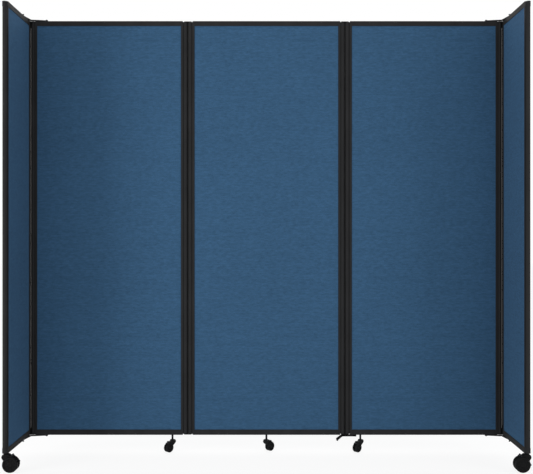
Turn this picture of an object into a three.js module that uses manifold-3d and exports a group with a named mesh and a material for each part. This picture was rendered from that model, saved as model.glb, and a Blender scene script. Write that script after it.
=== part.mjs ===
// Ward privacy screen on wheels: five hinged fabric panels on casters, standing as three panels in a row
// with two narrower end panels turned toward the viewer.
// Millimetres. X runs along the row from left to right, the viewer is at -Y, and +Z is up.
// The origin is on the floor under the middle of the whole screen.

import * as THREE from 'three';
import { mergeVertices } from 'three/addons/utils/BufferGeometryUtils.js';
import Module from 'manifold-3d';

const wasm = await Module();
wasm.setup();

// Fits shared by all pieces
const seatGap = 0.3; // between pieces that touch, or that turn in each other
const overrun = 6; // how far a cut runs past the face that it opens
const wheelSides = 24; // flats round a wheel or hood
const pinSides = 16; // flats round a pin or a post's nose

// Panels
const panelPitch = 835; // full panel, from joint centre to joint centre
const endPanelPitch = 434; // end panel, counted the same way
const frameHeight = 2196;
const frameThickness = 22.5;
const topRailFace = 26;
const bottomRailFace = 28;
const boardThickness = 18;
const boardTongue = 8.4; // how far the board's edge reaches into the frame

// Posts: a flat lip that holds the board, a narrow neck and a round nose for the hinge
const lipFace = 11;
const neckGap = 0.75; // between the lip and the nose
const neckThickness = 14;
const lipCorner = 4; // rounding of the lip's outer corners, in the front view

// Collars at both ends of the noses that hold no hinge
const collarProud = 1.2; // past the nose
const collarHeight = 24;
const collarTopDrop = 5; // below the frame's top
const collarBottomRise = 5.5; // above the frame's bottom

// Hinges: each joint has two axes, one in the nose of each panel
const hingeSpacing = 26;
const hingePinRadius = 5;
const hingePinDepth = 45;
const hingeHeadRadius = 6;
const hingeHeadHeight = 1.3;
const linkRadius = 10.5;
const linkThickness = 3.2;
const stripWidth = 10;

// Braces: a bent bar that turns on one panel, with a lock pin for the next panel
const cornerBraceSeat = 97; // pivot and lock pin, from the corner's outer hinge axis
const cornerBraceArm = 83;
const parkedBraceSeat = 41; // pivot, from the nearer hinge axis
const parkedBraceArm = 70;
const braceTurnArm = 83; // from the knee to the lock pin
const braceWidth = 10;
const braceHeight = 6;
const braceGap = 0.8; // between the frame and the bar
const braceHeadRadius = 6;
const braceHeadHeight = 2.6;
const bracePivotRadius = 4;
const bracePivotDepth = 14;
const lockPinRadius = 3;
const lockPinTravel = 5;
const lockKnobRadius = 4.6;
const lockKnobHeight = 2.5;
const lockEyeRadius = 6.5;

// Casters: small ones under the row, larger ones with a brake lever under the end panels
const smallCaster = {
  wheelRadius: 24,
  wheelWidth: 11,
  wheelSpacing: 5, // between the two wheels
  trail: 25,
  axleRadius: 4,
  hubRadius: 9,
  dish: 4,
  hoodRise: 16, // above the wheels
  bossRadius: 10.5,
  bossShift: 7.5,
  bossWidth: 20,
  bossReach: 7, // of its flat top, from the stem toward the wheels
  runningGap: 0.6,
  skirt: 1.2,
  hoodAngles: [60, 150], // degrees round the axle between which the hood covers the wheels
  neckRadius: 7,
  stemRadius: 4.75,
  stemDepth: 17,
  armWidth: 19,
  deckDrop: 8, // of the web between boss and ridge, below the hood's top
  ridgeDrop: 7,
  ridgeShift: 1,
  ridgeWidth: 5,
};
const endCaster = {
  wheelRadius: 38,
  wheelWidth: 19,
  wheelSpacing: 13,
  trail: 24.7,
  axleRadius: 5,
  hubRadius: 12,
  dish: 4,
  hoodRise: 11.5,
  neckHeight: 2, // from the hood to the frame
  bossRadius: 15,
  bossShift: 4.6,
  bossWidth: 30,
  bossReach: 17,
  runningGap: 0.6,
  skirt: 1.2,
  hoodAngles: [30, 150],
  neckRadius: 10.5,
  stemRadius: 4,
  stemDepth: 18,
  armWidth: 28,
  deckDrop: 6,
  ridgeDrop: 3.5,
  ridgeShift: 5.3,
  ridgeWidth: 6,
};
const smallCasterInset = 69; // stem, from the nearer hinge axis
const endCasterInset = 17.5; // stem, from the axis of the free nose
const leverArmWidth = 9;
const leverReach = 7.3; // past the wheels
const leverTabWidth = 22;
const leverTabThickness = 4.5;
const leverStart = 1.5; // from the wheels to the tab

// How each caster is turned: degrees from +X to its trailing side, seen from above
const smallCasterTurns = { 2: 224, 3: 44, 4: 221 };
const endCasterTurns = { 1: 0, 5: 180 };
const leverAngles = { 1: 19, 5: 183 }; // degrees up from the trailing side, round the axle

// Sizes worked out from the ones above
const frameBottom = 2 * endCaster.wheelRadius + endCaster.hoodRise + endCaster.neckHeight;
const frameTop = frameBottom + frameHeight;
const noseRadius = frameThickness / 2;
const lipOuter = noseRadius + neckGap; // from the hinge axis
const lipInner = lipOuter + lipFace;
const noseStep = hingeHeadHeight + linkThickness + seatGap; // the nose ends this far inside the frame
const fullWidth = panelPitch - hingeSpacing; // between a panel's two nose axes
const endWidth = endPanelPitch - hingeSpacing;
const rowJoint = panelPitch / 2;
const cornerJoint = panelPitch * 3 / 2;
const cornerAxis = cornerJoint + hingeSpacing / 2;

const black = (roughness, metalness = 0) => ({ color: 0x262728, roughness, metalness });
const frameFinish = new THREE.MeshStandardMaterial(black(0.5, 0.4));
const steelFinish = new THREE.MeshStandardMaterial(black(0.4, 0.8));
const plasticFinish = new THREE.MeshStandardMaterial(black(0.55));
const treadFinish = new THREE.MeshStandardMaterial(black(0.75));
const sealFinish = new THREE.MeshStandardMaterial(black(0.9));
const fabricFinish = new THREE.MeshStandardMaterial({ color: 0x33557a, roughness: 0.95 });

// A closed geometry as a solid that can be cut and joined.
function solidOf(geometry) {
  geometry.deleteAttribute('normal');
  geometry.deleteAttribute('uv');
  const merged = mergeVertices(geometry);
  const corners = merged.index.array;
  const kept = [];
  for (let i = 0; i < corners.length; i += 3) {
    const [a, b, c] = [corners[i], corners[i + 1], corners[i + 2]];
    if (a !== b && b !== c && c !== a) kept.push(a, b, c);
  }
  return new wasm.Manifold(new wasm.Mesh({
    numProp: 3,
    vertProperties: new Float32Array(merged.attributes.position.array),
    triVerts: new Uint32Array(kept),
  }));
}

// A solid as a named mesh.
function piece(name, solid, material) {
  const { vertProperties, triVerts } = solid.getMesh();
  const geometry = new THREE.BufferGeometry();
  geometry.setAttribute('position', new THREE.BufferAttribute(vertProperties, 3));
  geometry.setIndex(new THREE.BufferAttribute(triVerts, 1));
  geometry.computeVertexNormals();
  const mesh = new THREE.Mesh(geometry, material);
  mesh.name = name;
  return mesh;
}

function box(x0, x1, y0, y1, z0, z1) {
  const geometry = new THREE.BoxGeometry(x1 - x0, y1 - y0, z1 - z0);
  return solidOf(geometry.translate((x0 + x1) / 2, (y0 + y1) / 2, (z0 + z1) / 2));
}

// A vertical round bar.
function rod(radius, low, high, x = 0, y = 0) {
  const geometry = new THREE.CylinderGeometry(radius, radius, high - low, pinSides);
  return solidOf(geometry.rotateX(Math.PI / 2).translate(x, y, (low + high) / 2));
}

// A round bar along Y, as an axle lies.
function axleRod(radius, from, to, x, z) {
  const geometry = new THREE.CylinderGeometry(radius, radius, to - from, wheelSides);
  return solidOf(geometry.translate(x, (from + to) / 2, z));
}

// An outline seen from above, raised from low to high.
function prism(shape, low, high) {
  const geometry = new THREE.ExtrudeGeometry(shape, {
    depth: high - low,
    bevelEnabled: false,
    curveSegments: pinSides / 2,
  });
  return solidOf(geometry.translate(0, 0, low));
}

// An outline seen from the front, with its two faces at the given places along Y.
function slab(shape, from, to) {
  const geometry = new THREE.ExtrudeGeometry(shape, {
    depth: to - from,
    bevelEnabled: false,
    curveSegments: pinSides / 4,
  });
  return solidOf(geometry.rotateX(Math.PI / 2).translate(0, to, 0));
}

function polygon(points) {
  return new THREE.Shape(points.map(([x, y]) => new THREE.Vector2(x, y)));
}

// Post, with its hinge axis at x = 0 and its lip toward -x.
function postSection() {
  const neck = neckThickness / 2;
  const neckAngle = Math.asin(neck / noseRadius);
  const shape = new THREE.Shape();
  shape.moveTo(-lipInner, -noseRadius);
  shape.lineTo(-lipOuter, -noseRadius);
  shape.lineTo(-lipOuter, -neck);
  shape.absarc(0, 0, noseRadius, neckAngle - Math.PI, Math.PI - neckAngle, false);
  shape.lineTo(-lipOuter, neck);
  shape.lineTo(-lipOuter, noseRadius);
  shape.lineTo(-lipInner, noseRadius);
  shape.closePath();
  return shape;
}

// The post in the front view: rounded lip corners, and a nose that ends short at both ends.
function postOutline(bottomStep, topStep) {
  const shape = new THREE.Shape();
  const corner = lipOuter + lipCorner;
  shape.moveTo(-lipInner - overrun, frameBottom);
  shape.lineTo(-corner, frameBottom);
  shape.absarc(-corner, frameBottom + lipCorner, lipCorner, -Math.PI / 2, 0, false);
  shape.lineTo(-noseRadius, frameBottom + bottomStep);
  shape.lineTo(noseRadius + overrun, frameBottom + bottomStep);
  shape.lineTo(noseRadius + overrun, frameTop - topStep);
  shape.lineTo(-noseRadius, frameTop - topStep);
  shape.absarc(-corner, frameTop - lipCorner, lipCorner, 0, Math.PI / 2, false);
  shape.lineTo(-lipInner - overrun, frameTop);
  shape.closePath();
  return shape;
}

// A free post has collars on its nose in place of the hinge's link plates, and a caster under it.
function post(isFree) {
  const boreRadius = hingePinRadius + seatGap;
  const slot = boardThickness / 2 + seatGap;
  const slotEnd = -lipInner + boardTongue + seatGap;
  const bottomStep = isFree ? collarBottomRise : noseStep;
  const topStep = isFree ? collarTopDrop : noseStep;
  let solid = prism(postSection(), frameBottom, frameTop)
    .intersect(slab(postOutline(bottomStep, topStep), -frameThickness, frameThickness));
  if (isFree) {
    const collarRadius = noseRadius + collarProud;
    const lipSide = box(-collarRadius - overrun, -noseRadius, -frameThickness, frameThickness,
      frameBottom, frameTop);
    const [low, high] = [frameBottom + collarBottomRise, frameTop - collarTopDrop];
    solid = solid
      .add(rod(collarRadius, low, low + collarHeight).subtract(lipSide))
      .add(rod(collarRadius, high - collarHeight, high).subtract(lipSide));
  }
  solid = solid
    .subtract(rod(boreRadius, frameBottom - overrun, frameTop + overrun))
    .subtract(box(-lipInner - overrun, slotEnd, -slot, slot,
      frameBottom + bottomRailFace - boardTongue - seatGap,
      frameTop - topRailFace + boardTongue + seatGap));
  if (isFree) {
    solid = solid.subtract(rod(endCaster.stemRadius + seatGap, frameBottom - overrun,
      frameBottom + endCaster.stemDepth + seatGap, -endCasterInset));
  }
  return solid;
}

// Rails lie between the posts. Holes are given as their place along the rail, radius and depth.
function rail(width, low, high, isTop, holes) {
  const end = width / 2 - lipInner - seatGap;
  const slot = boardThickness / 2 + seatGap;
  const outer = isTop ? high : low;
  const inner = isTop ? low : high;
  const inward = isTop ? -1 : 1;
  const slotFloor = inner - inward * (boardTongue + seatGap);
  const slotMouth = inner + inward * overrun;
  let solid = box(-end, end, -noseRadius, noseRadius, low, high)
    .subtract(box(-end - overrun, end + overrun, -slot, slot,
      Math.min(slotFloor, slotMouth), Math.max(slotFloor, slotMouth)));
  for (const { at, radius, depth } of holes) {
    const floor = outer + inward * (depth + seatGap);
    const mouth = outer - inward * overrun;
    solid = solid.subtract(rod(radius + seatGap, Math.min(floor, mouth), Math.max(floor, mouth), at));
  }
  return solid;
}

function board(width) {
  const end = width / 2 - lipInner + boardTongue;
  return box(-end, end, -boardThickness / 2, boardThickness / 2,
    frameBottom + bottomRailFace - boardTongue, frameTop - topRailFace + boardTongue);
}

// One framed panel about its own middle.
function panel(number, width, freePost, topHoles, bottomHoles) {
  const group = new THREE.Group();
  const name = (part) => `panel_${number}_${part}`;
  const left = piece(name('left_post'), post(freePost === 'left'), frameFinish);
  left.position.x = -width / 2;
  left.rotation.z = Math.PI;
  const right = piece(name('right_post'), post(freePost === 'right'), frameFinish);
  right.position.x = width / 2;
  group.add(
    piece(name('board'), board(width), fabricFinish),
    left,
    right,
    piece(name('top_rail'), rail(width, frameTop - topRailFace, frameTop, true, topHoles), frameFinish),
    piece(name('bottom_rail'),
      rail(width, frameBottom, frameBottom + bottomRailFace, false, bottomHoles), frameFinish),
  );
  return group;
}

// Link plate with its two pins pointing down from z = 0, the plate's under side.
function link() {
  const half = hingeSpacing / 2;
  const shape = new THREE.Shape();
  shape.absarc(half, 0, linkRadius, -Math.PI / 2, Math.PI / 2, false);
  shape.absarc(-half, 0, linkRadius, Math.PI / 2, Math.PI * 3 / 2, false);
  let solid = prism(shape, 0, linkThickness);
  for (const x of [-half, half]) {
    solid = solid
      .add(rod(hingePinRadius, -hingePinDepth, linkThickness, x))
      .add(rod(hingeHeadRadius, 0, linkThickness + hingeHeadHeight, x));
  }
  return solid;
}

// Double-axis joint between two panels, about its middle.
function joint(label) {
  const group = new THREE.Group();
  const top = piece(`joint_${label}_top_link`, link(), steelFinish);
  top.position.z = frameTop - hingeHeadHeight - linkThickness;
  const bottom = piece(`joint_${label}_bottom_link`, link(), steelFinish);
  bottom.position.z = frameBottom + hingeHeadHeight + linkThickness;
  bottom.rotation.x = Math.PI;
  const stripHalf = hingeSpacing / 2 - noseRadius - seatGap;
  const strip = box(-stripHalf, stripHalf, -stripWidth / 2, stripWidth / 2,
    frameBottom + noseStep, frameTop - noseStep);
  group.add(top, bottom, piece(`joint_${label}_seal_strip`, strip, sealFinish));
  return group;
}

// Flat bar from one point to another with round ends, seen from above.
function bar(from, to, low, high) {
  const [dx, dy] = [to[0] - from[0], to[1] - from[1]];
  const length = Math.hypot(dx, dy);
  const side = [-dy / length * braceWidth / 2, dx / length * braceWidth / 2];
  const outline = polygon([
    [from[0] - side[0], from[1] - side[1]],
    [to[0] - side[0], to[1] - side[1]],
    [to[0] + side[0], to[1] + side[1]],
    [from[0] + side[0], from[1] + side[1]],
  ]);
  return prism(outline, low, high)
    .add(rod(braceWidth / 2, low, high, ...from))
    .add(rod(braceWidth / 2, low, high, ...to));
}

// The angle between the two arms of every brace, set by the corner ones.
const braceKnee = 2 * Math.asin(cornerBraceSeat * Math.SQRT2 / 2 / cornerBraceArm);

// Where the lock pin of a brace is, with its pivot at the origin and its first arm along +x.
function lockPlace(arm, turn) {
  const bend = (Math.PI - braceKnee) * turn;
  return [arm + braceTurnArm * Math.cos(bend), braceTurnArm * Math.sin(bend)];
}

// Brace above a frame whose face is at z = 0.
function brace(arm, turn) {
  const [low, high] = [braceGap, braceGap + braceHeight];
  const knee = [arm, 0];
  const end = lockPlace(arm, turn);
  return bar([0, 0], knee, low, high)
    .add(bar(knee, end, low, high))
    .add(rod(bracePivotRadius, -bracePivotDepth, high))
    .add(rod(braceHeadRadius, low, high + braceHeadHeight))
    .add(rod(lockEyeRadius, low, high, ...end))
    .subtract(rod(lockPinRadius + seatGap, low - overrun, high + overrun, ...end));
}

// Lock pin, drawn clear of the frame whose face is at z = 0.
function lockPin() {
  const knobLow = braceGap + braceHeight + lockPinTravel + seatGap;
  return rod(lockPinRadius, seatGap, knobLow)
    .add(rod(lockKnobRadius, knobLow, knobLow + lockKnobHeight));
}

// Brace and lock pin at a pivot on a frame: facing is 1 on top of the frame and -1 under it.
function braceSet(label, x, arm, direction, turn, facing) {
  const group = new THREE.Group();
  const side = facing > 0 ? 'top' : 'bottom';
  const flipped = new THREE.Group();
  const pin = piece(`lock_pin_${label}_${side}`, lockPin(), steelFinish);
  pin.position.set(...lockPlace(arm, turn * facing), 0);
  flipped.add(piece(`brace_${label}_${side}`, brace(arm, turn * facing), steelFinish), pin);
  flipped.rotation.x = facing > 0 ? 0 : Math.PI;
  group.add(flipped);
  group.position.set(x, 0, facing > 0 ? frameTop : frameBottom);
  group.rotation.z = direction;
  return group;
}

// The wheels of one caster on their axle, about the axle's middle, lying along Y.
function wheels(spec) {
  const inner = spec.wheelSpacing / 2;
  const outer = inner + spec.wheelWidth;
  const edge = spec.dish;
  const rim = spec.wheelRadius - 2 * edge;
  const side = [
    [spec.axleRadius, inner],
    [spec.wheelRadius - edge, inner],
    [spec.wheelRadius, inner + edge],
    [spec.wheelRadius, outer - edge],
    [spec.wheelRadius - edge, outer],
    [rim, outer],
    [rim - edge / 2, outer - edge],
    [spec.hubRadius, outer - edge],
    [spec.hubRadius - edge / 2, outer - edge / 2],
    [0, outer - edge / 2],
  ];
  const profile = [...side.map(([r, y]) => [r, -y]).reverse(), ...side];
  const geometry = new THREE.LatheGeometry(profile.map(([r, y]) => new THREE.Vector2(r, y)), wheelSides);
  return solidOf(geometry.rotateY(Math.PI / wheelSides));
}

// Height of the axle when the wheels stand on a flat of their outline.
function axleHeight(spec) {
  return spec.wheelRadius * Math.cos(Math.PI / wheelSides);
}

// Caster housing: a hood with a middle web, a round boss, a deck from there to a low ridge, and a stem.
// The stem is at x = 0 and the wheels trail toward +x.
function housing(spec, webTo) {
  const half = spec.wheelSpacing / 2 + spec.wheelWidth;
  const webFrom = -spec.wheelSpacing / 2 + seatGap;
  const axle = [spec.trail, axleHeight(spec)];
  const hoodTop = 2 * spec.wheelRadius + spec.hoodRise;
  const boss = [-spec.bossShift, hoodTop - spec.bossRadius];
  const neckTop = spec.neckHeight ? frameBottom - seatGap : hoodTop + seatGap;
  const pocket = spec.wheelRadius + spec.runningGap;
  const cover = pocket + spec.skirt;
  const [lowAngle, highAngle] = spec.hoodAngles.map((degrees) => degrees * Math.PI / 180);
  const far = 2 * cover;
  const lower = polygon([
    axle,
    [axle[0] + far * Math.cos(highAngle), axle[1] + far * Math.sin(highAngle)],
    [axle[0] - far, axle[1] - far],
    [axle[0] + far, axle[1] - far],
    [axle[0] + far * Math.cos(lowAngle), axle[1] + far * Math.sin(lowAngle)],
  ]);
  const slope = Math.atan2(boss[1] - axle[1], boss[0] - axle[0]);
  const side = [-Math.sin(slope) * spec.armWidth / 2, Math.cos(slope) * spec.armWidth / 2];
  const arm = polygon([
    [axle[0] + side[0], axle[1] + side[1]],
    [boss[0] + side[0], boss[1] + side[1]],
    [boss[0] - side[0], boss[1] - side[1]],
    [axle[0] - side[0], axle[1] - side[1]],
  ]);
  const deck = hoodTop - spec.deckDrop;
  const ridgeAt = axle[0] + spec.ridgeShift;
  const saddle = polygon([
    axle,
    boss,
    [boss[0], hoodTop],
    [spec.bossReach, hoodTop],
    [spec.bossReach + spec.deckDrop / 2, deck],
    [ridgeAt, deck],
  ]);
  const ridge = polygon([
    [ridgeAt - spec.ridgeWidth, axle[1] + pocket],
    [ridgeAt - spec.ridgeWidth, deck],
    [ridgeAt, hoodTop - spec.ridgeDrop],
    [ridgeAt + spec.ridgeWidth / 2, axle[1] + pocket],
  ]);
  const hood = axleRod(cover, -half, half, ...axle)
    .subtract(slab(lower, -half - overrun, half + overrun))
    .add(axleRod(spec.bossRadius, -spec.bossWidth / 2, spec.bossWidth / 2, ...boss)
      .intersect(rod(spec.bossRadius, hoodTop - 2 * spec.bossRadius, hoodTop, boss[0])))
    .add(slab(arm, -spec.bossWidth / 2, spec.bossWidth / 2))
    .add(slab(saddle, -spec.bossWidth / 2, spec.bossWidth / 2))
    .add(slab(ridge, -half, half))
    .add(rod(spec.neckRadius, boss[1], neckTop))
    .add(rod(spec.stemRadius, boss[1], frameBottom + spec.stemDepth))
    .subtract(axleRod(pocket, webTo, half + overrun, ...axle))
    .subtract(axleRod(pocket, -half - overrun, webFrom, ...axle));
  return hood
    .add(axleRod(spec.hubRadius, webFrom, webTo, ...axle))
    .subtract(axleRod(spec.axleRadius + seatGap, -half, half, ...axle));
}

// Brake lever beside the web, turning on the axle, with its foot tab past the wheels.
function lever(spec, angle) {
  const [from, to] = [seatGap, spec.wheelSpacing / 2 - seatGap];
  const tabStart = spec.wheelRadius + leverStart;
  const solid = axleRod(spec.hubRadius, from, to, 0, 0)
    .add(box(0, tabStart + leverTabThickness, from, to, -leverArmWidth / 2, leverArmWidth / 2))
    .add(box(tabStart, spec.wheelRadius + leverReach, -leverTabWidth / 2, leverTabWidth / 2,
      -leverTabThickness / 2, leverTabThickness / 2))
    .subtract(axleRod(spec.axleRadius + seatGap, from - overrun, to + overrun, 0, 0));
  return solid.rotate([0, -angle, 0]);
}

// Caster at its stem, turned so that its wheels trail in the given direction.
function caster(label, spec, turn, leverAngle) {
  const group = new THREE.Group();
  const hasLever = leverAngle !== undefined;
  const webTo = hasLever ? 0 : spec.wheelSpacing / 2 - seatGap;
  const pair = piece(`${label}_wheels`, wheels(spec), treadFinish);
  pair.position.set(spec.trail, 0, axleHeight(spec));
  group.add(piece(`${label}_housing`, housing(spec, webTo), plasticFinish), pair);
  if (hasLever) {
    const brake = piece(`${label}_brake_lever`, lever(spec, leverAngle), plasticFinish);
    brake.position.copy(pair.position);
    group.add(brake);
  }
  group.rotation.z = turn * Math.PI / 180;
  return group;
}

// Holes in the rails, for what stands or turns in them.
const pivotHole = (at) => ({ at, radius: bracePivotRadius, depth: bracePivotDepth });
const lockHole = (at) => ({ at, radius: lockPinRadius, depth: lockPinTravel });
const stemHole = (at) => ({ at, radius: smallCaster.stemRadius, depth: smallCaster.stemDepth });
const cornerPivot = fullWidth / 2 - (cornerBraceSeat - hingeSpacing);
const parkedPivot = fullWidth / 2 - parkedBraceSeat;
const lockSeat = endWidth / 2 - cornerBraceSeat;
const smallCasterPlace = fullWidth / 2 - smallCasterInset;
const endCasterPlace = endWidth / 2 - endCasterInset;

const screen = new THREE.Group();

const panel1 = panel(1, endWidth, 'left', [lockHole(lockSeat)], [lockHole(lockSeat)]);
panel1.position.set(-cornerAxis, -endWidth / 2, 0);
panel1.rotation.z = Math.PI / 2;
const endCaster1 = caster('end_caster_1', endCaster, endCasterTurns[1], leverAngles[1]);
endCaster1.position.set(-cornerAxis, -endWidth / 2 - endCasterPlace, 0);

const panel2 = panel(2, fullWidth, '', [pivotHole(-cornerPivot)],
  [pivotHole(-cornerPivot), stemHole(smallCasterPlace)]);
panel2.position.x = -panelPitch;
const caster2 = caster('caster_2', smallCaster, smallCasterTurns[2]);
caster2.position.x = -panelPitch + smallCasterPlace;

const panel3 = panel(3, fullWidth, '', [], [stemHole(0)]);
const caster3 = caster('caster_3', smallCaster, smallCasterTurns[3]);

const panel4 = panel(4, fullWidth, '', [pivotHole(cornerPivot)],
  [pivotHole(cornerPivot), stemHole(-smallCasterPlace), pivotHole(-parkedPivot)]);
panel4.position.x = panelPitch;
const caster4 = caster('caster_4', smallCaster, smallCasterTurns[4]);
caster4.position.x = panelPitch - smallCasterPlace;

const panel5 = panel(5, endWidth, 'right', [lockHole(-lockSeat)], [lockHole(-lockSeat)]);
panel5.position.set(cornerAxis, -endWidth / 2, 0);
panel5.rotation.z = -Math.PI / 2;
const endCaster5 = caster('end_caster_5', endCaster, endCasterTurns[5], leverAngles[5]);
endCaster5.position.set(cornerAxis, -endWidth / 2 - endCasterPlace, 0);

screen.add(panel1, panel2, panel3, panel4, panel5, endCaster1, caster2, caster3, caster4, endCaster5);

for (const [label, x] of [['12', -cornerJoint], ['23', -rowJoint], ['34', rowJoint], ['45', cornerJoint]]) {
  const hinge = joint(label);
  hinge.position.x = x;
  screen.add(hinge);
}

// Each corner brace leans toward the viewer by as much as its knee leaves over.
const braceLean = braceKnee / 2 - Math.PI / 4;
for (const facing of [1, -1]) {
  screen.add(
    braceSet('12', -panelPitch - cornerPivot, cornerBraceArm, Math.PI + braceLean, 1, facing),
    braceSet('45', panelPitch + cornerPivot, cornerBraceArm, -braceLean, -1, facing),
  );
}
screen.add(braceSet('34', panelPitch - parkedPivot, parkedBraceArm, Math.PI, 1, -1));

// The casters make the outline uneven, so the middle of the whole screen is found last.
screen.updateMatrixWorld(true);
const bounds = new THREE.Box3().setFromObject(screen, true);
screen.position.set(-(bounds.min.x + bounds.max.x) / 2, -(bounds.min.y + bounds.max.y) / 2, 0);

export default screen;
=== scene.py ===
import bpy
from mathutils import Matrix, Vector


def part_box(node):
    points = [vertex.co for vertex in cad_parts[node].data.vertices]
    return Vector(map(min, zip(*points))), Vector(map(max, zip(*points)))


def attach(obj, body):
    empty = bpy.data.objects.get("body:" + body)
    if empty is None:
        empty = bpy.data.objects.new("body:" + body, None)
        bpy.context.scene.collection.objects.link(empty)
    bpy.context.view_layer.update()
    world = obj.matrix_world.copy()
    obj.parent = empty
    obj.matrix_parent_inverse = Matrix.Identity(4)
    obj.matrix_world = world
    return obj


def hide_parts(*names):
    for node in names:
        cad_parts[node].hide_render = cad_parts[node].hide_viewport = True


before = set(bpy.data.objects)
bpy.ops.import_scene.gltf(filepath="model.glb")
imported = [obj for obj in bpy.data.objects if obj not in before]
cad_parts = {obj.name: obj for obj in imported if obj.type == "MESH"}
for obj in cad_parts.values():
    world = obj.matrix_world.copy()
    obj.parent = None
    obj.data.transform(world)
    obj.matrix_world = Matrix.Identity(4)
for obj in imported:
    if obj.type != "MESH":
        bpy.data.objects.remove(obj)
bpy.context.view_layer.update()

import math
from types import SimpleNamespace

import bmesh
import bpy
from mathutils import Matrix, Vector, noise

MM = 0.001

# Sizes in the CAD source too, and those that only the looks have
SEAT_GAP = 0.3 * MM
FULL_WIDTH = 809 * MM  # between a panel's two hinge axes
END_WIDTH = 408 * MM
FRAME_THICKNESS = 22.5 * MM
TOP_FACE = 26 * MM
BOTTOM_FACE = 28 * MM
BOARD_THICKNESS = 18 * MM
BOARD_TONGUE = 8.4 * MM
LIP_FACE = 11 * MM
NECK_GAP = 0.75 * MM
NECK_THICKNESS = 14 * MM
POST_EDGE = 0.35 * MM
RAIL_EDGE = 0.7 * MM
RAIL_END_EDGE = 0.25 * MM
LIP_CORNER = 4 * MM
COLLAR_PROUD = 1.2 * MM
COLLAR_HEIGHT = 24 * MM
COLLAR_TOP_DROP = 5 * MM
COLLAR_BOTTOM_RISE = 5.5 * MM
HINGE_SPACING = 26 * MM
PIN_RADIUS = 5 * MM
PIN_HEAD_RADIUS = 6 * MM
PIN_HEAD_HEIGHT = 1.3 * MM
LINK_THICKNESS = 3.2 * MM
PIN_HEAD_PROUD = 0.6 * MM
ROW_PLATE_RADIUS = 8 * MM  # short, for the notch in the photo between each plate's end and the lip
CORNER_PLATE_RADIUS = 11.2 * MM
PLATE_EDGE = 0.45 * MM
HINGE_PIN_DEPTH = 10 * MM
HINGE_BORE_DEPTH = 16 * MM
STRIP_WIDTH = 10 * MM
SEAL_GAP = 0.6 * MM
CORNER_BRACE_SEAT = 97 * MM
CORNER_BRACE_ARM = 83 * MM
PARKED_BRACE_SEAT = 41 * MM
PARKED_BRACE_ARM = 70 * MM
BRACE_TURN_ARM = 83 * MM
BRACE_WIDTH = 10 * MM
BRACE_HEIGHT = 6 * MM  # of the solid bars, which the knobs' places go by
BRACE_GAP = 0.8 * MM
BRACE_HEAD_RADIUS = 6 * MM
BRACE_HEAD_HEIGHT = 2.6 * MM
BRACE_EYE_RADIUS = 6.8 * MM
BRACE_EDGE = 0.7 * MM
CORNER_BAR_HEIGHT = 5.2 * MM
PARKED_BAR_HEIGHT = 9.4 * MM  # the parked brace is deeper than the others in the photo
RIVET_RADIUS = 3.8 * MM
RIVET_DEPTH = 7 * MM
LOCK_PIN_RADIUS = 3 * MM
LOCK_PIN_TRAVEL = 5 * MM
LOCK_KNOB_RADIUS = 4.6 * MM
LOCK_KNOB_HEIGHT = 2.5 * MM
LOCK_EYE_RADIUS = 6.5 * MM
SMALL_CASTER = SimpleNamespace(
    wheel_radius=24 * MM, wheel_width=11 * MM, spacing=5 * MM, trail=25 * MM, axle=4 * MM, hub=9 * MM,
    dish=4 * MM, rise=16 * MM, boss=10.5 * MM, boss_shift=7.5 * MM, boss_width=20 * MM, boss_reach=7 * MM,
    gap=0.6 * MM, skirt=1.2 * MM, hood_angles=(60, 150), neck=7 * MM, stem=5.3 * MM, arm=19 * MM,
    deck_drop=8 * MM, ridge_drop=7 * MM, ridge_shift=1 * MM, ridge_width=5 * MM)
END_CASTER = SimpleNamespace(
    wheel_radius=38 * MM, wheel_width=19 * MM, spacing=13 * MM, trail=24.7 * MM, axle=5 * MM, hub=12 * MM,
    dish=4 * MM, rise=11.5 * MM, boss=15 * MM, boss_shift=4.6 * MM, boss_width=30 * MM, boss_reach=17 * MM,
    gap=0.6 * MM, skirt=1.2 * MM, hood_angles=(70, 150), neck=10.5 * MM, stem=4 * MM, arm=28 * MM,
    deck_drop=6 * MM, ridge_drop=3.5 * MM, ridge_shift=5.3 * MM, ridge_width=6 * MM)
STEM_DEPTH = 12 * MM
SMALL_CASTER_INSET = 69 * MM
END_CASTER_INSET = 17.5 * MM
WHEEL_FLATS = 24  # a CAD wheel has this many flats and stands on one
WHEEL_RIBS = 8
LEVER_ARM_WIDTH = 9 * MM
LEVER_REACH = 7.3 * MM
LEVER_TAB_WIDTH = 22 * MM
LEVER_TAB_THICKNESS = 4.5 * MM
LEVER_START = 1.5 * MM

# By the panel's number: angles in degrees, and the side of an end panel's free post
PANEL_TURNS = {1: 90, 2: 0, 3: 0, 4: 0, 5: -90}
CASTER_TURNS = {2: 224, 3: 44, 4: 221}
END_CASTER_TURNS = {1: 0, 5: 180}
LEVER_ANGLES = {1: 19, 5: 183}
FREE_SIDES = {1: "left", 5: "right"}

# Sizes worked out from the ones above, and heights read from the frame
NOSE_RADIUS = FRAME_THICKNESS / 2
LIP_OUTER = NOSE_RADIUS + NECK_GAP
LIP_INNER = LIP_OUTER + LIP_FACE
NOSE_STEP = PIN_HEAD_HEIGHT + LINK_THICKNESS + SEAT_GAP
FRAME_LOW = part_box("panel_3_bottom_rail")[0].z
FRAME_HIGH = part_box("panel_3_top_rail")[1].z
FRAME_HEIGHT = FRAME_HIGH - FRAME_LOW
CORNER_PIVOT = FULL_WIDTH / 2 - (CORNER_BRACE_SEAT - HINGE_SPACING)
PARKED_PIVOT = FULL_WIDTH / 2 - PARKED_BRACE_SEAT
LOCK_SEAT = END_WIDTH / 2 - CORNER_BRACE_SEAT
SMALL_CASTER_PLACE = FULL_WIDTH / 2 - SMALL_CASTER_INSET


def shift(x=0.0, y=0.0, z=0.0):
    return Matrix.Translation((x, y, z))


def turn_about(axis, angle):
    return Matrix.Rotation(angle, 4, axis)


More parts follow.
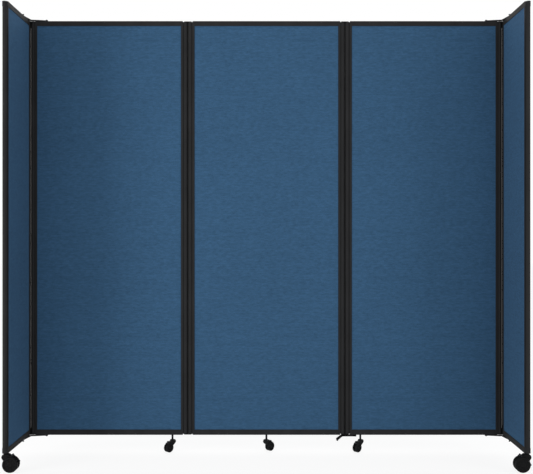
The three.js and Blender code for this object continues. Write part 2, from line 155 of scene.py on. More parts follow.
def middle(node):
    """Middle of a CAD node, seen from above."""
    low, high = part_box(node)
    return Vector(((low.x + high.x) / 2, (low.y + high.y) / 2, 0))


PANELS = {
    number: shift(*middle(f"panel_{number}_board")) @ turn_about("Z", math.radians(turn))
    for number, turn in PANEL_TURNS.items()
}
ROW = middle("panel_3_board")
UPSIDE_DOWN = turn_about("X", math.pi)


def panel_width(number):
    return END_WIDTH if number in END_CASTER_TURNS else FULL_WIDTH


# Mesh code
TINY = 1e-7  # metres, under which two places are one
CURVE_SHARE = 0.45  # of a side, so that its two curves don't meet
SHARP_ANGLE = 35  # degrees, from which an edge is rounded
CREASE_ANGLE = 38  # degrees, from which an edge keeps a sharp shading
MOULDED_CREASE = 50  # the same for moulded skins
LEVER_CREASE = 45


def along_x(u, v, w):
    return (w, u, v)


def along_y(u, v, w):
    return (u, w, v)


def along_z(u, v, w):
    return (u, v, w)


def arc(x, y, radius, start, end, steps):
    """Points on a circle, from one angle in degrees to another."""
    return [
        (x + radius * math.cos(math.radians(start + (end - start) * i / steps)),
         y + radius * math.sin(math.radians(start + (end - start) * i / steps)))
        for i in range(steps + 1)
    ]


def circle(radius, steps=48, x=0.0, y=0.0):
    return arc(x, y, radius, 0, 360, steps)[:-1]


def rectangle(x0, x1, y0, y1):
    return [(x0, y0), (x1, y0), (x1, y1), (x0, y1)]


def rounded(points, radius, steps=4, closed=True):
    """An outline with each corner replaced by a short curve that starts at most radius from it."""
    made = []
    count = len(points)
    for i, point in enumerate(points):
        here = Vector(point)
        if not closed and i in (0, count - 1):
            made.append(tuple(here))
            continue
        before, after = Vector(points[i - 1]) - here, Vector(points[(i + 1) % count]) - here
        reach = min(radius, before.length * CURVE_SHARE, after.length * CURVE_SHARE)
        if reach < TINY:
            made.append(tuple(here))
            continue
        start, end = here + before.normalized() * reach, here + after.normalized() * reach
        for k in range(steps + 1):
            t = k / steps
            made.append(tuple(start * (1 - t) ** 2 + here * (2 * t * (1 - t)) + end * t * t))
    return made


def prism(outline, low, high, place=along_z):
    """A closed solid with the same outline from low to high."""
    bm = bmesh.new()
    ends = [[bm.verts.new(place(u, v, w)) for u, v in outline] for w in (low, high)]
    bm.faces.new(ends[0])
    bm.faces.new(ends[1])
    count = len(outline)
    for i in range(count):
        j = (i + 1) % count
        bm.faces.new((ends[0][i], ends[0][j], ends[1][j], ends[1][i]))
    bmesh.ops.recalc_face_normals(bm, faces=bm.faces)
    return bm


def rod(radius, low, high, ease=0.0):
    """Section of a round rod as (radius, height), its upper edge cut off by ease."""
    edge = [(radius, high - ease), (radius - ease, high)] if ease else [(radius, high)]
    return [(0, low), (radius, low), *edge, (0, high)]


def lathe(profile, steps=64, place=along_z, closed=False):
    """A profile of (radius, height) turned about an axis: a ring if closed, and else it ends on the axis."""
    bm = bmesh.new()
    rings = []
    for radius, height in profile:
        if radius < TINY:
            rings.append([bm.verts.new(place(0, 0, height))])
        else:
            rings.append([bm.verts.new(place(u, v, height)) for u, v in circle(radius, steps)])
    pairs = list(zip(rings, rings[1:] + rings[:1])) if closed else list(zip(rings, rings[1:]))
    for a, b in pairs:
        for i in range(steps):
            j = (i + 1) % steps
            if len(a) == 1 and len(b) > 1:
                bm.faces.new((a[0], b[j], b[i]))
            elif len(b) == 1 and len(a) > 1:
                bm.faces.new((a[i], a[j], b[0]))
            elif len(a) > 1 and len(b) > 1:
                bm.faces.new((a[i], a[j], b[j], b[i]))
    bmesh.ops.recalc_face_normals(bm, faces=bm.faces)
    return bm


def moved(bm, matrix):
    bmesh.ops.transform(bm, matrix=matrix, verts=bm.verts)
    return bm


def solid_of(obj):
    """The object's mesh as a solid to work on."""
    bm = bmesh.new()
    bm.from_mesh(obj.data)
    return bm


def taken_from(obj):
    """The object's solid. The object itself goes."""
    bm = solid_of(obj)
    bpy.data.objects.remove(obj)
    return bm


def returned(bm, obj, crease):
    """Shades the solid and writes it back to the object's mesh."""
    shade(bm, crease)
    bm.to_mesh(obj.data)
    bm.free()
    return obj


def bevelled(bm, edges, width, segments):
    bmesh.ops.bevel(bm, geom=edges, offset=width, offset_type="OFFSET", segments=segments, profile=0.5,
                    affect="EDGES", clamp_overlap=True)
    return bm


def soften(bm, width, segments=2):
    """Rounds the sharp edges."""
    limit = math.radians(SHARP_ANGLE)
    sharp = [e for e in bm.edges if len(e.link_faces) == 2 and e.calc_face_angle(0) > limit]
    return bevelled(bm, sharp, width, segments)


def new_object(name, data):
    made = bpy.data.objects.new(name, data)
    bpy.context.scene.collection.objects.link(made)
    return made


def piece(name, *solids, crease=CREASE_ANGLE):
    """One object from one or more closed solids."""
    mesh = bpy.data.meshes.new(name)
    whole = bmesh.new()
    for bm in solids:
        part = bpy.data.meshes.new("part")
        bm.to_mesh(part)
        bm.free()
        whole.from_mesh(part)
        bpy.data.meshes.remove(part)
    shade(whole, crease)
    whole.to_mesh(mesh)
    whole.free()
    return new_object(name, mesh)


def shade(bm, crease):
    """Smooth shading, except across edges sharper than the crease angle."""
    for edge in bm.edges:
        edge.smooth = len(edge.link_faces) == 2 and edge.calc_face_angle(0) < math.radians(crease)
    for face in bm.faces:
        face.smooth = True


def settle(obj):
    """Applies the object's modifiers."""
    bpy.context.view_layer.update()
    evaluated = obj.evaluated_get(bpy.context.evaluated_depsgraph_get())
    mesh = bpy.data.meshes.new_from_object(evaluated)
    obj.modifiers.clear()
    old, obj.data = obj.data, mesh
    mesh.name = obj.name
    bpy.data.meshes.remove(old)
    return obj


def combine(obj, operation, *solids):
    """Joins solids to the object, cuts them from it, or keeps what it shares with them."""
    for bm in solids:
        tool = piece("tool", bm)
        modifier = obj.modifiers.new("combine", "BOOLEAN")
        modifier.operation = operation
        modifier.solver = "EXACT"
        modifier.object = tool
        settle(obj)
        bpy.data.objects.remove(tool)
    return obj


def cut(obj, *solids):
    return combine(obj, "DIFFERENCE", *solids)


def edged(obj, width, segments=2):
    """Rounds the sharp edges of an object that was cut or joined."""
    bm = solid_of(obj)
    bmesh.ops.remove_doubles(bm, verts=bm.verts, dist=0.001 * MM)
    bmesh.ops.dissolve_limit(bm, angle_limit=math.radians(0.5), verts=bm.verts, edges=bm.edges)
    return returned(soften(bm, width, segments), obj, CREASE_ANGLE)


def moulded(obj, grain, rounds, keep):
    """Fuses an object's solids into one skin with soft moulded edges, and keeps a share of its faces."""
    remesh = obj.modifiers.new("skin", "REMESH")
    remesh.mode = "VOXEL"
    remesh.voxel_size = grain
    smooth = obj.modifiers.new("smooth", "SMOOTH")
    smooth.factor = 0.5
    smooth.iterations = rounds
    thin = obj.modifiers.new("thin", "DECIMATE")
    thin.ratio = keep
    settle(obj)
    return returned(solid_of(obj), obj, MOULDED_CREASE)


def put(obj, matrix, body, slot, *nodes):
    """Places a piece, ties it to its body, and lets it stand for its CAD nodes."""
    obj.matrix_world = matrix
    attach(obj, body)
    if nodes:
        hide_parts(*nodes)
    return obj


# Materials
def feed(owner, shader_node, key, value):
    """Gives a node's input a value, or links it to another node's output."""
    if isinstance(value, bpy.types.NodeSocket):
        owner.node_tree.links.new(value, shader_node.inputs[key])
    else:
        shader_node.inputs[key].default_value = value


def node(owner, kind, inputs=None, **settings):
    """A new shader node of a material or a world, with its settings and then its inputs."""
    made = owner.node_tree.nodes.new(kind)
    for key, value in settings.items():
        setattr(made, key, value)
    for key, value in (inputs or {}).items():
        feed(owner, made, key, value)
    return made


def new_material(name, colour, roughness, specular):
    made = bpy.data.materials.new(name)
    made.use_nodes = True
    made.diffuse_color = (*colour, 1)
    shader = made.node_tree.nodes["Principled BSDF"]
    feed(made, shader, "Base Color", (*colour, 1))
    feed(made, shader, "Roughness", roughness)
    feed(made, shader, "Specular IOR Level", specular)
    return made, shader


def local_place(material):
    return node(material, "ShaderNodeTexCoord").outputs["Object"]


def noise_at(material, grains, detail=3.0, roughness=0.5):
    """Noise from 0 to 1, with so many grains a metre: one number, or one for each axis."""
    scale = grains if isinstance(grains, tuple) else (grains, grains, grains)
    place = node(material, "ShaderNodeMapping", {"Vector": local_place(material), "Scale": scale})
    inputs = {"Vector": place.outputs["Vector"], "Scale": 1, "Detail": detail, "Roughness": roughness}
    return node(material, "ShaderNodeTexNoise", inputs).outputs["Fac"]


def spread(material, value, low, high, source_low=0.25, source_high=0.75):
    """A value stretched from one range to another."""
    inputs = {"Value": value, "From Min": source_low, "From Max": source_high, "To Min": low, "To Max": high}
    return node(material, "ShaderNodeMapRange", inputs).outputs["Result"]


def maths(owner, operation, *values):
    return node(owner, "ShaderNodeMath", dict(enumerate(values)), operation=operation).outputs[0]


def product(owner, *factors):
    made = factors[0]
    for factor in factors[1:]:
        made = maths(owner, "MULTIPLY", made, factor)
    return made


def shaded(material, shader, colour, factor):
    """Multiplies a colour by a factor that varies over the surface."""
    scale = node(material, "ShaderNodeVectorMath", {0: colour, "Scale": factor}, operation="SCALE")
    feed(material, shader, "Base Color", scale.outputs["Vector"])


def bumped(material, shader, height, distance, strength):
    """Fine relief, from a height that goes from 0 to 1."""
    bump = node(material, "ShaderNodeBump", {"Distance": distance, "Strength": strength, "Height": height})
    feed(material, shader, "Normal", bump.outputs["Normal"])


FABRIC_BLUE = (0.03, 0.083, 0.157)
FABRIC_GREY = (0.041, 0.094, 0.169)
YARN = 0.95 * MM
UPRIGHT_YARN = 1.3 * YARN
YARN_WAVER = 0.35
YARN_DIP = 0.45
UPRIGHT_RISE = 0.3


def humps(material, value):
    """A round hump from 0 to 1 and back over each whole step of the value."""
    wave = maths(material, "SINE", product(material, value, math.pi))
    return maths(material, "ABSOLUTE", wave)


def weave_height(material):
    """Height of the weave: level yarns that dip where an upright one goes over them."""
    split = node(material, "ShaderNodeSeparateXYZ", {0: local_place(material)})
    waver = spread(material, noise_at(material, 90), -YARN_WAVER, YARN_WAVER)
    across = product(material, split.outputs["X"], 1 / UPRIGHT_YARN)
    up = maths(material, "ADD", product(material, split.outputs["Z"], 1 / YARN), waver)
    level, upright = humps(material, up), humps(material, across)
    row, column = maths(material, "FLOOR", up), maths(material, "FLOOR", across)
    over = maths(material, "PINGPONG", maths(material, "ADD", row, column), 1.0)
    dip = product(material, maths(material, "SUBTRACT", 1.0, over), YARN_DIP)
    weft = maths(material, "SUBTRACT", level, product(material, dip, upright))
    return maths(material, "MAXIMUM", weft, product(material, upright, UPRIGHT_RISE))


def woven_cloth():
    """Ribbed upholstery cloth in two close blues, uneven from thread to thread and over the panel, with
    painted shade in the weave's dips.
    """
    material, shader = new_material("woven_cloth", FABRIC_BLUE, 0.95, 0.04)
    feed(material, shader, "Sheen Weight", 0.02)
    feed(material, shader, "Sheen Roughness", 0.5)
    height = weave_height(material)
    streak = spread(material, noise_at(material, (2.5, 2.5, 120), 4), 0.945, 1.055)
    slub = spread(material, noise_at(material, (50, 50, 150), 2), 0.85, 1.15)
    cloud = spread(material, noise_at(material, (2.2, 2.2, 1.6), 2), 0.965, 1.035)
    thread = spread(material, noise_at(material, (350, 350, 1400), 2), 0.82, 1.18)
    # Painted shade: the weave's height darkens its low places and lightens its high places.
    depth = spread(material, height, 0.72, 1.1, 0.0, 1.0)
    melange = spread(material, noise_at(material, (160, 160, 900), 2), 0.0, 1.0)
    colours = {"Factor": melange, "A": (*FABRIC_BLUE, 1), "B": (*FABRIC_GREY, 1)}
    blend = node(material, "ShaderNodeMix", colours, data_type="RGBA")
    tone = product(material, streak, slub, cloud, thread, depth)
    shaded(material, shader, blend.outputs["Result"], tone)
    bumped(material, shader, height, 0.25 * MM, 0.7)
    return material


def dull(name, colour, roughness, specular, wear, tone, gloss, grains, relief):
    """A dull surface. The wear noise varies its tone and gloss, and the grain noises make its relief."""
    material, shader = new_material(name, colour, roughness, specular)
    varying = noise_at(material, *wear)
    shaded(material, shader, colour, spread(material, varying, *tone))
    if gloss:
        feed(material, shader, "Roughness", spread(material, varying, *gloss))
    height = noise_at(material, *grains[0])
    for grain in grains[1:]:
        height = maths(material, "ADD", height, noise_at(material, *grain))
    bumped(material, shader, height, *relief)
    return material


CLOTH = woven_cloth()
COAT = dull("black_powder_coat", (0.0208, 0.0208, 0.0214), 0.6, 0.02, wear=((14, 14, 5), 4),
            tone=(0.86, 1.16), gloss=(0.55, 0.68), grains=[(900, 2)], relief=(0.06 * MM, 0.5))
STEEL = dull("black_painted_steel", (0.006, 0.006, 0.0063), 0.5, 0.03, wear=(120, 5, 0.65),
             tone=(0.8, 1.6, 0.4, 0.8), gloss=(0.42, 0.6), grains=[(700, 3)], relief=(0.04 * MM, 0.4))
PLASTIC = dull("black_nylon", (0.0055, 0.0055, 0.0058), 0.55, 0.08, wear=(60, 3),
               tone=(0.88, 1.15), gloss=(0.44, 0.58), grains=[(1500, 2)], relief=(0.08 * MM, 0.5))
SCUFF = (260, 5, 0.7)
TREAD = dull("black_tread", (0.006, 0.006, 0.0062), 0.62, 0.08, wear=SCUFF, tone=(0.8, 1.9, 0.4, 0.85),
             gloss=(0.5, 0.75), grains=[SCUFF, (1900, 2)], relief=(0.06 * MM, 0.5))
DRAWN_LINES = ((2500, 2500, 30), 2)
RUBBER = dull("rubber_seal", (0.006, 0.006, 0.0062), 0.85, 0.06, wear=DRAWN_LINES, tone=(0.8, 1.25),
              gloss=None, grains=[DRAWN_LINES], relief=(0.05 * MM, 0.6))
FIBRE = (500, 4)
CORE = dull("board_core", (0.32, 0.26, 0.19), 0.9, 0.5, wear=FIBRE, tone=(0.8, 1.15), gloss=None,
            grains=[FIBRE], relief=(0.1 * MM, 0.5))


def finish(obj, *materials):
    """Gives a piece its materials, and its flat faces an even light beside small roundings."""
    obj.data.materials.clear()
    for material in materials:
        obj.data.materials.append(material)
    level = obj.modifiers.new("level", "WEIGHTED_NORMAL")
    level.keep_sharp = True
    return settle(obj)


# Panels
def post_section():
    """Post seen from above, with its hinge axis at the origin and its lip toward -x."""
    neck = NECK_THICKNESS / 2
    angle = math.degrees(math.asin(neck / NOSE_RADIUS))
    return [
        (-LIP_INNER, -NOSE_RADIUS), (-LIP_OUTER, -NOSE_RADIUS), (-LIP_OUTER, -neck),
        *arc(0, 0, NOSE_RADIUS, angle - 180, 180 - angle, 48),
        (-LIP_OUTER, neck), (-LIP_OUTER, NOSE_RADIUS), (-LIP_INNER, NOSE_RADIUS),
    ]


def post_outline(low_step, high_step):
    """Post in the front view, with its foot at height 0 and its nose cut short by a step at each end."""
    far = 2 * NOSE_RADIUS
    corner = LIP_OUTER + LIP_CORNER
    return [
        (-LIP_INNER - far, 0),
        *arc(-corner, LIP_CORNER, LIP_CORNER, -90, 0, 8),
        (-NOSE_RADIUS, low_step), (far, low_step),
        (far, FRAME_HEIGHT - high_step), (-NOSE_RADIUS, FRAME_HEIGHT - high_step),
        *arc(-corner, FRAME_HEIGHT - LIP_CORNER, LIP_CORNER, 0, 90, 8),
        (-LIP_INNER - far, FRAME_HEIGHT),
    ]


def collar(low):
    """Collar round a nose, open toward the lip."""
    radius = NOSE_RADIUS + COLLAR_PROUD
    ring = piece("ring", prism(circle(radius, 64), low, low + COLLAR_HEIGHT))
    cut(ring, prism(rectangle(-3 * radius, -NOSE_RADIUS, -2 * radius, 2 * radius), 0, FRAME_HEIGHT),
        prism(circle(PIN_RADIUS + SEAT_GAP, 32), 0, FRAME_HEIGHT))
    return taken_from(ring)


def post(name, is_free):
    """Post with a slot for the board and a bore in each end. A free one has collars and a stem's hole."""
    steps = (COLLAR_BOTTOM_RISE, COLLAR_TOP_DROP) if is_free else (NOSE_STEP, NOSE_STEP)
    made = piece(name, prism(post_section(), 0, FRAME_HEIGHT))
    combine(made, "INTERSECT", prism(post_outline(*steps), -FRAME_THICKNESS, FRAME_THICKNESS, along_y))
    slot = BOARD_THICKNESS / 2 + SEAT_GAP
    reach = -LIP_INNER + BOARD_TONGUE + SEAT_GAP
    cut(made, prism(
        rectangle(-2 * LIP_INNER, reach, -slot, slot),
        BOTTOM_FACE - BOARD_TONGUE - SEAT_GAP, FRAME_HEIGHT - TOP_FACE + BOARD_TONGUE + SEAT_GAP))
    bore = circle(PIN_RADIUS + SEAT_GAP, 32)
    cut(made, prism(bore, -HINGE_BORE_DEPTH, HINGE_BORE_DEPTH),
        prism(bore, FRAME_HEIGHT - HINGE_BORE_DEPTH, FRAME_HEIGHT + HINGE_BORE_DEPTH))
    if is_free:
        stem = circle(END_CASTER.stem + SEAT_GAP, 40, -END_CASTER_INSET)
        cut(made, prism(stem, -STEM_DEPTH, STEM_DEPTH + SEAT_GAP))
        for low in (COLLAR_BOTTOM_RISE, FRAME_HEIGHT - COLLAR_TOP_DROP - COLLAR_HEIGHT):
            combine(made, "UNION", collar(low))
    edged(made, POST_EDGE)
    return finish(made, COAT)


def holes_in_rail(number, is_top):
    """Holes as (place, radius, depth), for what stands or turns in a rail."""
    rivets = {2: [-CORNER_PIVOT], 4: [CORNER_PIVOT] if is_top else [CORNER_PIVOT, -PARKED_PIVOT]}
    pins = {1: [LOCK_SEAT], 5: [-LOCK_SEAT]}
    stems = {} if is_top else {2: [SMALL_CASTER_PLACE], 3: [0], 4: [-SMALL_CASTER_PLACE]}
    kinds = ((rivets, RIVET_RADIUS, RIVET_DEPTH), (pins, LOCK_PIN_RADIUS, LOCK_PIN_TRAVEL),
             (stems, SMALL_CASTER.stem, STEM_DEPTH))
    return [(x, radius, depth) for places, radius, depth in kinds for x in places.get(number, [])]


def rail(name, width, face, is_top, holes):
    """Channel over the board's edge, with rounded outer edges, an open slot and holes in its outer face."""
    end = width / 2 - LIP_INNER - SEAT_GAP
    slot = BOARD_THICKNESS / 2 + SEAT_GAP
    depth = BOARD_TONGUE + SEAT_GAP
    edge = RAIL_EDGE
    section = [
        *arc(-NOSE_RADIUS + edge, edge, edge, 180, 270, 4),
        *arc(NOSE_RADIUS - edge, edge, edge, 270, 360, 4),
        (NOSE_RADIUS, face - edge / 2), (NOSE_RADIUS - edge / 2, face),
        (slot, face), (slot, face - depth), (-slot, face - depth), (-slot, face),
        (-NOSE_RADIUS + edge / 2, face), (-NOSE_RADIUS, face - edge / 2),
    ]
    if is_top:
        section = [(y, -z) for y, z in reversed(section)]
    bm = prism(section, -end, end, along_x)
    ends = [e for e in bm.edges if abs(abs(e.verts[0].co.x) - end) < TINY
            and abs(e.verts[0].co.x - e.verts[1].co.x) < TINY]
    made = piece(name, bevelled(bm, ends, RAIL_END_EDGE, 1))
    for x, radius, depth in holes:
        hole = circle(radius + SEAT_GAP, 40, x)
        cut(made, prism(hole, -depth - SEAT_GAP, depth + SEAT_GAP))
    return finish(made, COAT)


CLOTH_THICKNESS = 0.8 * MM
CLOTH_STEP = 35 * MM
CLOTH_DROP = 0.15 * MM  # from the solid board's face to the cloth's
CLOTH_WAVE = 0.3 * MM
CLOTH_SHIFTS = (9, 5.0)  # by panel and by side, so that no two cloths are alike
CLOTH_WAVES = (4, 2.5)  # a metre, across and up
CLOTH_CREASE = 60
CORE_GAP = 0.35 * MM
CORE_EDGE = 0.6 * MM


def board_size(number):
    """Half the width of a panel's board, and the heights of its lower and upper edge."""
    half = panel_width(number) / 2 - LIP_INNER + BOARD_TONGUE
    return half, FRAME_LOW + BOTTOM_FACE - BOARD_TONGUE, FRAME_HIGH - TOP_FACE + BOARD_TONGUE


def cloth_face(bm, number, side, is_outer):
    """One face of a cloth as rows of corners. The outer one has the faint waves of glued cloth."""
    half, low, high = board_size(number)
    columns, rows = round(2 * half / CLOTH_STEP), round((high - low) / CLOTH_STEP)
    across, up = CLOTH_WAVES
    place = (CLOTH_SHIFTS[0] * number, side * CLOTH_SHIFTS[1])
    grid = []
    for j in range(rows + 1):
        line = []
        for i in range(columns + 1):
            x, z = -half + 2 * half * i / columns, low + (high - low) * j / rows
            depth = BOARD_THICKNESS / 2 - CLOTH_DROP - (0 if is_outer else CLOTH_THICKNESS)
            if is_outer and min(i, columns - i, j, rows - j) > 1:
                depth += CLOTH_WAVE * noise.noise(Vector((x * across + place[0], place[1], z * up)))
            line.append(bm.verts.new((x, side * depth, z)))
        grid.append(line)
    return grid


def cloth(name, number, side):
    """Cloth stretched over one face of the board, and its flat size."""
    bm = bmesh.new()
    outer, inner = [cloth_face(bm, number, side, is_outer) for is_outer in (True, False)]
    rows, columns = len(outer) - 1, len(outer[0]) - 1
    for grid in (outer, inner):
        for j in range(rows):
            for i in range(columns):
                bm.faces.new((grid[j][i], grid[j][i + 1], grid[j + 1][i + 1], grid[j + 1][i]))
    ring = [(0, i) for i in range(columns)] + [(j, columns) for j in range(rows)]
    ring += [(rows, i) for i in range(columns, 0, -1)] + [(j, 0) for j in range(rows, 0, -1)]
    for (j, i), (n, m) in zip(ring, ring[1:] + ring[:1]):
        bm.faces.new((outer[j][i], outer[n][m], inner[n][m], inner[j][i]))
    bmesh.ops.recalc_face_normals(bm, faces=bm.faces)
    half, low, high = board_size(number)
    return finish(piece(name, bm, crease=CLOTH_CREASE), CLOTH), (2 * half, high - low)


def core(name, number):
    """Board core between the two cloths, its long edges eased."""
    half, low, high = board_size(number)
    face = BOARD_THICKNESS / 2 - CLOTH_THICKNESS - CORE_GAP
    bm = prism(rectangle(-half, half, -face, face), low, high)
    return finish(piece(name, soften(bm, CORE_EDGE)), CORE)


def cap_plug(name):
    """Round plug with a domed head, in the end of a nose that holds no hinge."""
    head, stub, foot = 8.6 * MM, PIN_RADIUS, -10 * MM
    profile = [(0, 1.5 * MM), (3 * MM, 1.42 * MM), (6 * MM, 1.1 * MM), (head - 0.5 * MM, 0.7 * MM),
               (head, 0.35 * MM), (head, 0.05 * MM), (stub, 0.05 * MM), (stub, foot + 1 * MM),
               (stub - 1 * MM, foot), (0, foot)]
    return finish(piece(name, lathe(profile, 48)), PLASTIC)


def add_posts(number, place, hinged_post, free_post, plug):
    body = f"panel_{number}"
    for side, sign in (("left", -1), ("right", 1)):
        turn = turn_about("Z", 0 if sign > 0 else math.pi)
        at = place @ shift(sign * panel_width(number) / 2, 0, FRAME_LOW) @ turn
        is_free = FREE_SIDES.get(number) == side
        node_name = f"panel_{number}_{side}_post"
        kind = free_post if is_free else hinged_post
        put(new_object(f"{node_name}_shell", kind.data), at, body, "frame", node_name)
        if is_free:
            ends = {"top": shift(z=FRAME_HEIGHT - COLLAR_TOP_DROP),
                    "bottom": shift(z=COLLAR_BOTTOM_RISE) @ UPSIDE_DOWN}
            for word, end in ends.items():
                put(new_object(f"{node_name}_{word}_plug", plug.data), at @ end, body, "frame")


def add_rails(number, place):
    for is_top, word, height, face in ((True, "top", FRAME_HIGH, TOP_FACE),
                                       (False, "bottom", FRAME_LOW, BOTTOM_FACE)):
        node_name = f"panel_{number}_{word}_rail"
        holes = holes_in_rail(number, is_top)
        shell = rail(f"{node_name}_shell", panel_width(number), face, is_top, holes)
        put(shell, place @ shift(z=height), f"panel_{number}", "frame", node_name)


def add_board(number, place):
    body = f"panel_{number}"
    inner = put(core(f"{body}_board_core", number), place, body, "fabric", f"{body}_board")
    for word, side in (("front", -1), ("back", 1)):
        sheet, flat = cloth(f"{body}_{word}_cloth", number, side)
        put(sheet, place, body, "fabric")


post_kinds = (post("hinged_post", False), post("free_post", True), cap_plug("plug"))
for number, place in PANELS.items():
    add_posts(number, place, *post_kinds)
    add_rails(number, place)
    add_board(number, place)
for spare in post_kinds:
    bpy.data.objects.remove(spare)


# Joints
def hinge_pin(top, face):
    """Riveted pin of a link plate, from its head's top through the plate's face down into the nose."""
    head, pin = PIN_HEAD_RADIUS, PIN_RADIUS
    return [(0, top - 0.1 * MM), (1.6 * MM, top - 0.1 * MM), (1.9 * MM, top), (head - 0.8 * MM, top),
            (head - 0.3 * MM, top - 0.15 * MM), (head, top - 0.45 * MM), (head, face - 0.2 * MM),
            (pin, face - 0.5 * MM), (pin, 1 * MM - HINGE_PIN_DEPTH), (pin - 1 * MM, -HINGE_PIN_DEPTH),
            (0, -HINGE_PIN_DEPTH)]


def link_plate(name, radius):
    """Link plate with eased edges and two riveted pins, its heads level with the frame."""
    half = HINGE_SPACING / 2
    outline = [*arc(half, 0, radius, -90, 90, 24), *arc(-half, 0, radius, 90, 270, 24)]
    top = LINK_THICKNESS + PIN_HEAD_HEIGHT
    face = top - PIN_HEAD_PROUD
    pins = [moved(lathe(hinge_pin(top, face), 40), shift(x)) for x in (-half, half)]
    return finish(piece(name, soften(prism(outline, 0, face), PLATE_EDGE), *pins), STEEL)


def seal_strip(name, lean):
    """Rubber seal between two noses. With a lean, two lips with a slanting gap that lets some light by."""
    half = HINGE_SPACING / 2 - NOSE_RADIUS - SEAT_GAP
    deep = STRIP_WIDTH / 2
    height = FRAME_HEIGHT - 2 * NOSE_STEP
    block = rounded(rectangle(-half, half, -deep, deep), 0.6 * MM, 3)
    if not lean:
        return finish(piece(name, prism(block, 0, height)), RUBBER)
    solid_end, overlap, gap = 29 * MM, 1 * MM, SEAL_GAP
    lip = rounded([(-half, gap - deep), (half - 0.3 * gap, deep), (-half, deep)], 0.1 * MM, 2)
    lips = [[(turn * lean * x, turn * y) for x, y in lip] for turn in (1, -1)]
    ends = [prism(block, low, low + solid_end) for low in (0, height - solid_end)]
    long = [prism(outline, solid_end - overlap, height - solid_end + overlap) for outline in lips]
    return finish(piece(name, *ends, *long), RUBBER)


def add_joint(label, x, plate, strip):
    body = f"link_{label}"
    base = shift(ROW.x + x, ROW.y)
    drop = PIN_HEAD_HEIGHT + LINK_THICKNESS
    places = (("top", shift(z=FRAME_HIGH - drop)), ("bottom", shift(z=FRAME_LOW + drop) @ UPSIDE_DOWN))
    for word, place in places:
        put(new_object(f"joint_{label}_{word}_plate", plate.data), base @ place, body, "steel",
            f"joint_{label}_{word}_link")
    put(new_object(f"joint_{label}_seal", strip.data), base @ shift(z=FRAME_LOW + NOSE_STEP), body, "seal",
        f"joint_{label}_seal_strip")


PITCH = FULL_WIDTH + HINGE_SPACING
JOINTS = {"12": -1.5 * PITCH, "23": -0.5 * PITCH, "34": 0.5 * PITCH, "45": 1.5 * PITCH}
LEANS = {"12": -1, "45": 1}  # the way the gap slants in the corner seals
row_plate = link_plate("row_plate", ROW_PLATE_RADIUS)
corner_plate = link_plate("corner_plate", CORNER_PLATE_RADIUS)
strips = {lean: seal_strip("strip", lean) for lean in (-1, 0, 1)}
for label, x in JOINTS.items():
    add_joint(label, x, corner_plate if label in LEANS else row_plate, strips[LEANS.get(label, 0)])
for spare in (row_plate, corner_plate, *strips.values()):
    bpy.data.objects.remove(spare)


# Braces
BRACE_KNEE = 2 * math.asin(CORNER_BRACE_SEAT * math.sqrt(2) / 2 / CORNER_BRACE_ARM)
BRACE_LEAN = BRACE_KNEE / 2 - math.pi / 4


def lock_place(arm, turn):
    """Where a brace's lock pin is, from its pivot, with the first arm along x."""
    bend = (math.pi - BRACE_KNEE) * turn
    return arm + BRACE_TURN_ARM * math.cos(bend), BRACE_TURN_ARM * math.sin(bend)


def bar(start, end, low, high):
    """Flat bar with round ends, seen from above."""
    angle = math.degrees(math.atan2(end[1] - start[1], end[0] - start[0]))
    half = BRACE_WIDTH / 2
    outline = [*arc(*start, half, angle + 90, angle + 270, 24), *arc(*end, half, angle - 90, angle + 90, 24)]
    return prism(outline, low, high)


def pivot_rivet(seat, high):
    """Rivet at a brace's pivot, with a dome over the bar."""
    head, shaft = BRACE_HEAD_RADIUS, RIVET_RADIUS
    top = max(seat + BRACE_HEAD_HEIGHT, high + BRACE_GAP)
    angles = [math.radians(90 - 15 * i) for i in range(1, 6)]
    dome = [(head * math.cos(angle), high + (top - high) * math.sin(angle)) for angle in angles]
    return [(0, top), *dome, (head, high + 0.2 * MM), (head, high - 0.3 * MM), (shaft, high - 0.6 * MM),
            (shaft, 1 * MM - RIVET_DEPTH), (shaft - 0.8 * MM, -RIVET_DEPTH), (0, -RIVET_DEPTH)]


def brace(name, arm, turn):
    """Bent bar with an eye at each end, a rivet, and room for the lock pin's knob."""
    low, high = SEAT_GAP, SEAT_GAP + (PARKED_BAR_HEIGHT if arm == PARKED_BRACE_ARM else CORNER_BAR_HEIGHT)
    seat = BRACE_GAP + BRACE_HEIGHT
    end = lock_place(arm, turn)
    made = piece("bar", bar((0, 0), (arm, 0), low, high))
    eyes = [circle(BRACE_EYE_RADIUS), circle(LOCK_EYE_RADIUS, 48, *end)]
    combine(made, "UNION", bar((arm, 0), end, low, high), *[prism(eye, low, high) for eye in eyes])
    cut(made, prism(circle(LOCK_PIN_RADIUS + SEAT_GAP, 40, *end), -high, 2 * high))
    if high > seat:
        recess = circle(LOCK_KNOB_RADIUS + SEAT_GAP, 40, *end)
        cut(made, prism(recess, seat, 2 * high))
    edged(made, BRACE_EDGE, 3)
    return finish(piece(name, taken_from(made), lathe(pivot_rivet(seat, high), 40)), STEEL)


def knurled(radius, teeth, depth):
    """Outline of a knob with square teeth, two points to a tooth and two to a gap."""
    points = []
    for i in range(4 * teeth):
        reach = radius - (depth if i % 4 in (2, 3) else 0)
        angle = 2 * math.pi * i / (4 * teeth)
        points.append((reach * math.cos(angle), reach * math.sin(angle)))
    return points


